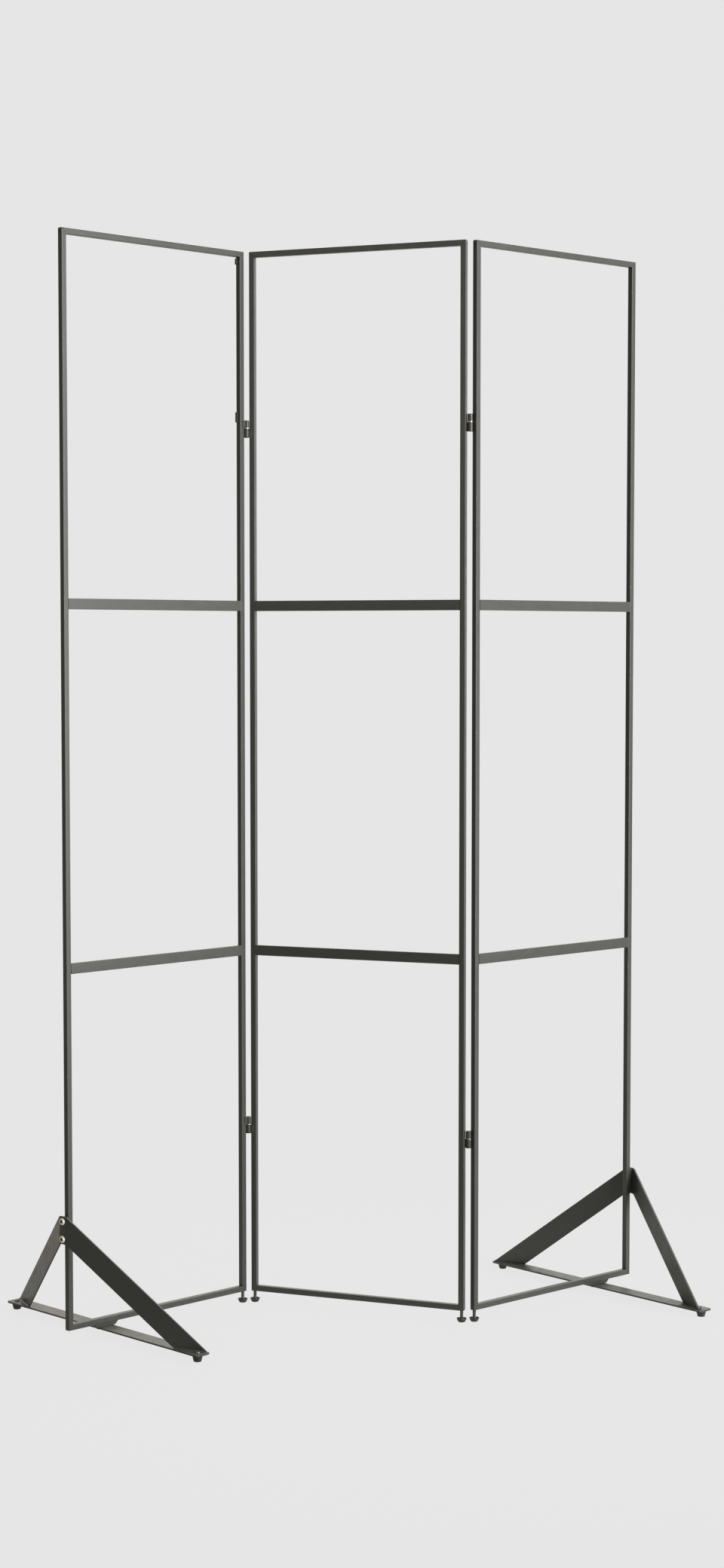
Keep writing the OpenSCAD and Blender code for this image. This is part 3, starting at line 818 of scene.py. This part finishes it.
def bentStrap(name, place, strapNode, barNode):
    strapLow, strapHigh = boxIn(strapNode, place)
    barLow, barHigh = boxIn(barNode, place)
    thick = barHigh.z - barLow.z
    level = (barLow.z + barHigh.z) / 2
    plateX = strapLow.x + thick / 2
    plateY = strapLook["plateWidth"] / 2
    tip = Vector((barHigh.x - thick / 2, strapHigh.y, 0))
    start = Vector((plateX, plateY, 0))
    along = (tip - start).normalized()
    outward = Vector((-along.y, along.x, 0))
    run = (tip - start).length
    fall = (strapHigh.z - barLow.z) / run
    radius = strapLook["footBend"]
    steps = strapLook["footBendSteps"]
    spareLength = strapLook["spare"]
    profile = [start + up * (strapHigh.z + spareLength)]
    for i in range(steps + 1):
        angle = math.pi / 2 * i / steps
        reach = outward * radius * (1 - math.cos(angle))
        profile.append(start + reach + up * (level + radius * (1 - math.sin(angle))))
    profile.append(profile[-1] + outward * strapLook["toeReach"])
    piece = newChain(name, profile)
    openEdit(piece, "EDGE")
    bpy.ops.mesh.select_all(action="SELECT")
    stretch = along * (run + 2 * spareLength)
    bpy.ops.mesh.extrude_region_move(TRANSFORM_OT_translate={"value": stretch})
    lowerEdge = start + up * (strapHigh.z - strapLook["plateHeight"])
    slope = along * fall + up
    for point, normal in (((barLow.x, 0, level), (1, 0, 0)), (lowerEdge, slope)):
        bpy.ops.mesh.select_all(action="SELECT")
        bpy.ops.mesh.bisect(plane_co=point, plane_no=normal)

    def spare(face):
        spot = face.calc_center_median()
        offset = (spot - start).dot(outward)
        if offset < radius and (spot - lowerEdge).dot(slope) < 0:
            return True
        return offset > 0.05 * mm and spot.x < barLow.x

    pick(piece, "FACE", spare)
    bpy.ops.mesh.delete(type="FACE")
    bpy.ops.mesh.select_all(action="SELECT")
    cutAway(start + up * strapHigh.z, slope, fill=False)
    bpy.ops.mesh.select_all(action="SELECT")
    cutAway((0, strapHigh.y, 0), (0, 1, 0), fill=False)
    cornerSpot = Vector((barLow.x, strapHigh.y, level))
    pick(piece, "VERT", lambda v: (v.co - cornerSpot).length < 0.1 * mm)
    bpy.ops.mesh.bevel(
        offset=strapLook["tipCorner"], segments=strapLook["tipSteps"], affect="VERTICES"
    )
    atPlate = lambda e: all(abs(v.co.y - plateY) < 0.01 * mm for v in e.verts)
    pick(piece, "EDGE", atPlate)
    bpy.ops.mesh.extrude_region_move(TRANSFORM_OT_translate={"value": (0, -plateY, 0)})
    closeEdit()
    addModifier(
        piece, "MIRROR", use_axis=(False, True, False), use_mirror_merge=True,
        merge_threshold=0.02 * mm,
    )
    openEdit(piece)
    bpy.ops.mesh.select_all(action="SELECT")
    bpy.ops.mesh.remove_doubles(threshold=0.01 * mm)
    bpy.ops.mesh.normals_make_consistent(inside=False)
    folds = lambda e: runsAlong(2)(e) and abs(abs(e.verts[0].co.y) - plateY) < 0.01 * mm
    pick(piece, "EDGE", folds)
    bpy.ops.mesh.bevel(offset=strapLook["plateBend"], segments=4, affect="EDGES")
    closeEdit()
    addModifier(piece, "SOLIDIFY", thickness=thick, offset=0.0, use_even_offset=True)
    softenEdges(piece, strapLook["edgeRadius"], strapLook["edgeSteps"], strapLook["edgeAngle"])
    return piece, start, along, outward


def flatBar(name, place, barNode, start, outward):
    low, high = boxIn(barNode, place)
    bpy.ops.object.select_all(action="DESELECT")
    size = high - low
    middle = (low + high) / 2
    bpy.ops.mesh.primitive_plane_add(size=1, location=middle)
    bpy.ops.transform.resize(value=(size.x, size.y, 1))
    piece = nameLast(name)
    openEdit(piece, "VERT")
    bpy.ops.mesh.select_all(action="SELECT")
    bpy.ops.mesh.bevel(
        offset=strapLook["tipCorner"], segments=strapLook["tipSteps"], affect="VERTICES"
    )
    toeLine = start + outward * (strapLook["footBend"] - 0.05 * mm)
    for sign in (1, -1):
        bpy.ops.mesh.select_all(action="SELECT")
        cutAway((toeLine.x, toeLine.y * sign, 0), (outward.x, outward.y * sign, 0), fill=False)
    closeEdit()
    addModifier(piece, "SOLIDIFY", thickness=size.z, offset=0.0)
    softenEdges(piece, strapLook["edgeRadius"], strapLook["edgeSteps"], strapLook["edgeAngle"])
    return piece


screwLook = {
    "steps": 48,
    "flange": 0.35,  # height of the flange's edge, as a share of the head
    "socketDepth": 0.75,  # as a share of the head
    "brim": 0.3,  # how far the dome starts out from the socket, as a share of what is left
    "edge": 0.2,
    "tipChamfer": 0.5,
}


# a flanged button head above zero, its face up, with the shank below and a hex socket
def buttonScrew(name, material, headWidth, headHeight, shankWidth, shankLength, socketAcross):
    r, z, s = headWidth / 2, headHeight, shankWidth / 2
    flange = z * screwLook["flange"]
    edge, tip = screwLook["edge"], screwLook["tipChamfer"]
    brim = socketAcross / 2 + (r - socketAcross / 2) * screwLook["brim"]
    crown = [
        (brim + (r - edge - brim) * math.cos(a), flange + (z - flange) * math.sin(a))
        for a in [math.radians(step) for step in (10, 25, 40, 55, 70, 90)]
    ]
    piece = newTurned(name, [
        (0, -shankLength), (s - tip, -shankLength), (s, tip - shankLength), (s, 0),
        (r - 0.25, 0), (r, 0.22), (r, flange - 0.15), (r - 0.12, flange), *crown, (0, z),
    ], screwLook["steps"])
    depth = z * screwLook["socketDepth"]
    cutter = newRod("cutter", socketAcross / 2 * mm, (z - depth) * mm, (z + 2) * mm, 6)
    subtract(piece, cutter)
    piece.data.materials.clear()
    piece.data.materials.append(material)
    piece.data.materials.append(studSteel)  # painted shade: the socket's inside takes the darker stud steel so the recess reads dark
    socketReach = socketAcross / 2.02 * mm  # just inside the hexagon's corners
    # painted shade: faces down in the hex socket get material 1, the darker stud steel
    for face in piece.data.polygons:
        inSocket = face.center.z > 0 and face.center.xy.length < socketReach
        face.material_index = 1 if inSocket else 0
    return piece


glideLook = {
    "steps": 56,
    "ribs": 3,
    "chamfer": 0.9,
    "lip": 1.5,
    "ringHalf": 0.3,
    "ringDepth": 0.22,
}


# a tapered plastic glide with shallow rings round it, in millimetres from its foot
def glide(name, topRadius, baseRadius, height):
    chamfer, lip = glideLook["chamfer"], glideLook["lip"]
    points = [(0, 0), (baseRadius - chamfer, 0), (baseRadius - 0.3, 0.25), (baseRadius, chamfer)]
    side = height - lip - chamfer
    for i in range(1, glideLook["ribs"] + 1):
        share = i / (glideLook["ribs"] + 1)
        r = baseRadius + (topRadius - baseRadius) * share
        z = chamfer + side * share
        half, deep = glideLook["ringHalf"], glideLook["ringDepth"]
        points += [
            (r - 0.03, z - half), (r - deep, z - 0.4 * half),
            (r - deep + 0.02, z + 0.4 * half), (r + 0.03, z + half),
        ]
    points += [
        (topRadius - 0.12, height - lip), (topRadius, height - lip + 0.25),
        (topRadius, height - 0.35), (topRadius - 0.35, height), (0, height),
    ]
    return newTurned(name, points, glideLook["steps"])


standLook = {
    "glideTopRadius": 8.75,
    "glideBaseRadius": 6.5,
    "clampHead": 12.0,
    "clampHeadHigh": 3.0,
    "clampSocket": 6.2,
    "glideHead": 9.0,
    "glideHeadHigh": 2.2,
    "glideSocket": 4.0,
    "glideScrewReach": 6.5,  # below the flat bar
    "shank": 5.0,
    "beadRadius": 1.1,
    "beadFromToe": 14 * mm,
    "beadToPlate": 3 * mm,
    "spacerEdge": 0.7 * mm,
    "saddleEdge": 0.6 * mm,
}
headOut = Matrix.Rotation(-math.pi / 2, 4, "Y")  # turns a head from up to the outer side
for side in ("left", "right"):
    place, body = standParts(side)
    node = f"{side}_stand_"
    strap, start, along, outward = bentStrap(side + "Strap", place, node + "strap", node + "bar")
    bar = flatBar(side + "FlatBar", place, node + "bar", start, outward)
    barLow, barHigh = boxIn(node + "bar", place)
    thick = barHigh.z - barLow.z

    beads = []
    meet = start - outward * thick / 2
    first = (barLow.x + standLook["beadFromToe"] - meet.x) / along.x
    last = (barHigh.x - standLook["beadToPlate"] - meet.x) / along.x
    for sign in (1, -1):
        ends = [meet + along * reach for reach in (first, last)]
        ends = [Vector((p.x, p.y * sign, barHigh.z)) for p in ends]
        beads.append(weldBead("bead", *ends, standLook["beadRadius"]))
    welds = joined(side + "StandWelds", beads)

    low, high = boxIn(node + "spacer", place)
    spacer = newBox(side + "Spacer", low, high)
    softenEdges(spacer, standLook["spacerEdge"], 3)

    low, high = boxIn(node + "saddle", place)
    saddle = newBox(side + "Saddle", low, high)
    openEdit(saddle)
    bpy.ops.mesh.select_all(action="SELECT")
    cutAway((low.x, 0, high.z), (-1, 0, -1))
    bpy.ops.mesh.select_all(action="SELECT")
    cutAway((high.x, 0, high.z), (1, 0, -1))
    closeEdit()
    softenEdges(saddle, standLook["saddleEdge"], 3)

    screwLow, screwHigh = boxIn(node + "clamp_screws", place)
    headReach = standLook["clampHead"] / 2 * mm
    plateFace = start.x - thick / 2
    clamps = []
    for z in (screwLow.z + headReach, screwHigh.z - headReach):
        shank = (screwHigh.x - plateFace) / mm
        screw = buttonScrew(
            "clampScrew", brightZinc, standLook["clampHead"], standLook["clampHeadHigh"],
            standLook["shank"], shank, standLook["clampSocket"],
        )
        clamps.append(moved(screw, Matrix.Translation((plateFace, 0, z)) @ headOut))
    clampSet = joined(side + "ClampScrews", clamps)

    low, high = boxIn(node + "glides", place)
    glideR = standLook["glideTopRadius"] * mm
    glideX = (low.x + high.x) / 2
    glides = []
    glideScrews = []
    for y in (low.y + glideR, high.y - glideR):
        puck = glide(
            "glide", standLook["glideTopRadius"], standLook["glideBaseRadius"],
            (high.z - low.z) / mm,
        )
        glides.append(moved(puck, Matrix.Translation((glideX, y, low.z))))
        screw = buttonScrew(
            "glideScrew", studSteel, standLook["glideHead"], standLook["glideHeadHigh"],
            standLook["shank"], thick / mm + standLook["glideScrewReach"],
            standLook["glideSocket"],
        )
        glideScrews.append(moved(screw, Matrix.Translation((glideX, y, barHigh.z))))
    glideSet = joined(side + "Glides", glides)
    glideScrewSet = joined(side + "GlideScrews", glideScrews)

    for piece, material, slotName, nodes in (
        (strap, powderCoat, "powder_coat", ["strap"]),
        (bar, powderCoat, "powder_coat", ["bar"]),
        (welds, powderCoat, "powder_coat", []),
        (spacer, powderCoat, "powder_coat", ["spacer"]),
        (saddle, nylon, "glide_plastic", ["saddle"]),
        (clampSet, brightZinc, "bright_zinc", ["clamp_screws"]),
        (glideSet, nylon, "glide_plastic", ["glides"]),
        (glideScrewSet, studSteel, "plated_steel", ["glide_screws"]),
    ):
        moved(piece, place)
        finished(piece, material, slotName, body, *[node + word for word in nodes])
print("scene: both splayed stands built")


keeperLook = {
    "lowerLength": 18 * mm,
    "upperLength": 11 * mm,
    "corner": 1.4 * mm,
    "edge": 0.3 * mm,
}
place = panels["left"]["place"]
low, high = boxIn("left_keeper_tabs", place)
tabs = []
for span in (
    (low.z, low.z + keeperLook["lowerLength"]),
    (high.z - keeperLook["upperLength"], high.z),
):
    tab = newBox("tab", (low.x, low.y, span[0]), (high.x, high.y, span[1]))
    openEdit(tab)
    pick(tab, "EDGE", lambda e: runsAlong(1)(e) and abs(e.verts[0].co.x - low.x) < 1e-6)
    bpy.ops.mesh.bevel(offset=keeperLook["corner"], segments=4, affect="EDGES")
    closeEdit()
    softenEdges(tab, keeperLook["edge"])
    tabs.append(tab)
piece = moved(joined("leftKeeperTabs", tabs), place)
finished(piece, powderCoat, "powder_coat", "left_panel", "left_keeper_tabs")

for master in list(tubeMasters.values()) + [padMaster, studMaster]:
    bpy.data.objects.remove(master, do_unlink=True)

carried = {
    platedSteel: (
        "left_hinge_pins", "right_hinge_pins", "left_foot_plug", "middle_foot_plugs",
        "right_foot_plug", "left_stand_rivet_nuts", "right_stand_rivet_nuts",
        "left_stand_bar_screws", "right_stand_bar_screws",
    ),
    bronze: ("left_hinge_washers", "right_hinge_washers"),
}
for material, names in carried.items():
    for name in names:
        mesh = frame["nodes"][name].data
        mesh.materials.clear()
        mesh.materials.append(material)
print("scene: tabs and carried pieces finished")


floorLook = {
    "seen": (0.79, 0.79, 0.79),
    "warm": (1.0, 0.88, 0.75),  # what is left of the screen, and what is right of it
    "cool": (0.97, 1.0, 0.95),
    "warmFrom": -1.4,
    "warmTo": -0.4,
    "glowFront": 0.33,  # what the floor casts on the screen, before it and behind it
    "glowBack": 0.85,
    "frontLine": -0.6,
    "backLine": 0.3,
    "shadowShare": 0.035,
    "fadeFrom": 0.6,
    "fadeTo": 1.5,
    "below": 0.2 * mm,
    "size": 40,
}
bpy.ops.object.select_all(action="DESELECT")
bpy.ops.mesh.primitive_plane_add(size=floorLook["size"], location=(0, 0, -floorLook["below"]))
floor = nameLast("floor")
floorMaterial = bpy.data.materials.new("paleFloor")
floorMaterial.use_nodes = True
tree = floorMaterial.node_tree
shader = tree.nodes["Principled BSDF"]
shader.inputs["Base Color"].default_value = (0.8, 0.8, 0.8, 1)
shader.inputs["Roughness"].default_value = 0.9
shader.inputs["Specular IOR Level"].default_value = 0.0
where = addNode(tree, "ShaderNodeTexCoord")
split = addNode(tree, "ShaderNodeSeparateXYZ")
tree.links.new(where.outputs["Object"], split.inputs[0])
rays = addNode(tree, "ShaderNodeLightPath")
seenRay = rays.outputs["Is Camera Ray"]
front, back = floorLook["glowFront"], floorLook["glowBack"]
near, far = floorLook["frontLine"], floorLook["backLine"]
cast = addRange(tree, split.outputs["Y"], near, far, front, back)
near, far = floorLook["warmFrom"], floorLook["warmTo"]
warmth = addRange(tree, split.outputs["X"], near, far, 0.0, 1.0)
tint = addMix(tree, warmth, floorLook["warm"], floorLook["cool"])
glow = addNode(tree, "ShaderNodeEmission")
tree.links.new(addMix(tree, seenRay, tint, floorLook["seen"]), glow.inputs["Color"])
tree.links.new(addRange(tree, seenRay, 0.0, 1.0, cast, 1.0), glow.inputs["Strength"])
reach = addNode(tree, "ShaderNodeVectorMath", operation="LENGTH")
tree.links.new(where.outputs["Object"], reach.inputs[0])
near, far = floorLook["fadeFrom"], floorLook["fadeTo"]
share = addRange(tree, reach.outputs["Value"], near, far, floorLook["shadowShare"], 0.0)
mixed = addNode(tree, "ShaderNodeMixShader")
tree.links.new(share, mixed.inputs[0])
tree.links.new(glow.outputs[0], mixed.inputs[1])
tree.links.new(shader.outputs[0], mixed.inputs[2])
tree.links.new(mixed.outputs[0], tree.nodes["Material Output"].inputs["Surface"])
floor.data.materials.append(floorMaterial)

worldLook = {
    "seen": (0.79, 0.79, 0.79, 1),
    "ambient": 0.26,
    "right": 0.5,
    "behind": 1.1,
    "behindFrom": -0.1,
    "behindTo": 0.9,
    "warm": (1.0, 0.9, 0.78),
    "cool": (0.97, 1.0, 0.96),
    "warmFrom": -0.9,
    "warmTo": 0.1,
}
world = bpy.data.worlds.new("studio")
bpy.context.scene.world = world
world.use_nodes = True
tree = world.node_tree
tree.nodes.clear()
seen = addNode(tree, "ShaderNodeBackground")
seen.inputs["Color"].default_value = worldLook["seen"]
glow = addNode(tree, "ShaderNodeBackground")
where = addNode(tree, "ShaderNodeTexCoord")
split = addNode(tree, "ShaderNodeSeparateXYZ")
tree.links.new(where.outputs["Generated"], split.inputs[0])
right = addRange(tree, split.outputs["X"], 0.0, 1.0, 0.0, worldLook["right"])
near, far = worldLook["behindFrom"], worldLook["behindTo"]
behind = addRange(tree, split.outputs["Y"], near, far, 0.0, worldLook["behind"])
strength = addMath(tree, "ADD", addMath(tree, "ADD", right, behind), worldLook["ambient"])
tree.links.new(strength, glow.inputs["Strength"])
near, far = worldLook["warmFrom"], worldLook["warmTo"]
warmth = addRange(tree, split.outputs["X"], near, far, 0.0, 1.0)
tint = addMix(tree, warmth, worldLook["warm"], worldLook["cool"])
tree.links.new(tint, glow.inputs["Color"])
rays = addNode(tree, "ShaderNodeLightPath")
mixed = addNode(tree, "ShaderNodeMixShader")
tree.links.new(rays.outputs["Is Camera Ray"], mixed.inputs[0])
tree.links.new(glow.outputs[0], mixed.inputs[1])
tree.links.new(seen.outputs[0], mixed.inputs[2])
output = addNode(tree, "ShaderNodeOutputWorld")
tree.links.new(mixed.outputs[0], output.inputs["Surface"])

lamps = {
    "sideLamp": {"spot": (4.2, -0.9, 1.4), "aim": (0, 0, 0.9), "size": (2.4, 3.2), "watts": 292},
    "fillLamp": {"spot": (-1.8, -4.6, 2.6), "aim": (0, 0, 0.9), "size": (3.0, 3.0), "watts": 24},
    "topLamp": {"spot": (0.4, 2.6, 4.2), "aim": (0, 0, 0.6), "size": (3.0, 2.0), "watts": 70},
}
for name, lamp in lamps.items():
    bpy.ops.object.select_all(action="DESELECT")
    bpy.ops.object.light_add(type="AREA", location=lamp["spot"])
    light = bpy.context.object
    light.name = name
    light.data.shape = "RECTANGLE"
    light.data.size, light.data.size_y = lamp["size"]
    light.data.energy = lamp["watts"]
    aim = Vector(lamp["aim"]) - Vector(lamp["spot"])
    light.rotation_euler = aim.to_track_quat("-Z", "Y").to_euler()
print("scene: floor, sky and lamps set")


# the camera's place is in the middle panel's axes
cameraLook = {
    "spot": (1.9123, -4.2989, 1.1534),
    "pitch": 86.441,
    "yaw": 21.582,
    "lens": 61.4,
    "sensor": 36,
    "shiftDown": 0.0154,
    "farEnd": 60,
}
bpy.ops.object.select_all(action="DESELECT")
turn = [math.radians(cameraLook["pitch"]), 0.0, math.radians(cameraLook["yaw"])]
cameraSpot = panels["middle"]["place"] @ Vector(cameraLook["spot"])
bpy.ops.object.camera_add(location=cameraSpot, rotation=turn)
camera = bpy.context.object
camera.name = "camera"
camera.data.lens = cameraLook["lens"]
camera.data.sensor_width = cameraLook["sensor"]
camera.data.shift_y = cameraLook["shiftDown"]
camera.data.clip_end = cameraLook["farEnd"]
bpy.context.scene.camera = camera
bpy.context.scene.view_settings.view_transform = "Standard"
print("scene: camera placed")
